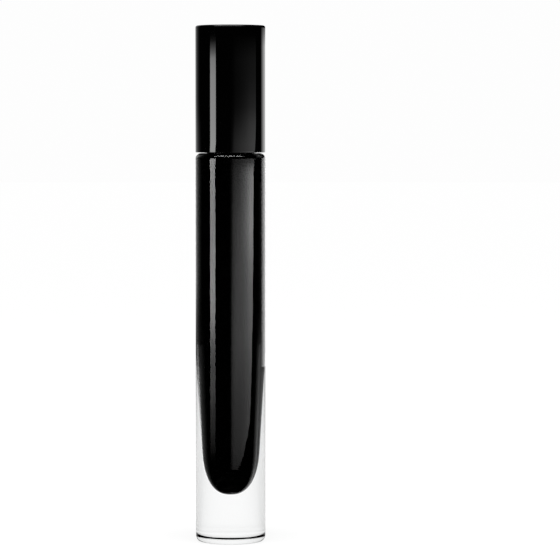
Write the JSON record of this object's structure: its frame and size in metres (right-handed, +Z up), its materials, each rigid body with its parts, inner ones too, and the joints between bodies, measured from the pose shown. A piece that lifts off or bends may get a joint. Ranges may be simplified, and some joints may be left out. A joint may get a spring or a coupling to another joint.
{
  "type": "mascara tube",
  "caption": "Closed mascara: clear thick-walled jacket round a black vial, glossy black screw cap with weight, rod and twisted-wire fibre brush inside.",
  "frame": {"origin": "centre of the foot's flat underside, on the tube's axis", "axes": "+Z up along the tube's axis, from the foot to the cap's top; the tube is the same all round, so X and Y are free"},
  "size_m": [0.0164, 0.0164, 0.122],
  "materials": {
    "clear_acrylic": "clear polished",
    "black_vial": "glossy",
    "wiper_plastic": "satin translucent white",
    "seal_foam": "matt",
    "black_cap": "high gloss",
    "black_insert": "satin",
    "weight_steel": "turned",
    "black_rod": "matt",
    "wire_steel": "drawn wire",
    "black_fibre": "fine nylon fibre"
  },
  "bodies": {
    "tube": {"outer_jacket": "clear_acrylic", "inner_vial": "black_vial", "wiper": "wiper_plastic"},
    "seal": {"seal_washer": "seal_foam"},
    "wand": {"cap_shell": "black_cap", "inner_cap": "black_insert", "cap_weight": "weight_steel", "rod": "black_rod", "twisted_wire": "wire_steel", "bristles": "black_fibre"}
  },
  "joints": [
    {"name": "wand_lift", "type": "slide", "parent": "tube", "child": "seal", "axis": [0, 0, 1], "range_m": [0, 0.092], "deforming": ["bristles"]},
    {"name": "cap_turn", "type": "hinge", "parent": "seal", "child": "wand", "pos_m": [0, 0, 0.105], "axis": [0, 0, 1], "range_deg": [0, 540]}
  ]
}
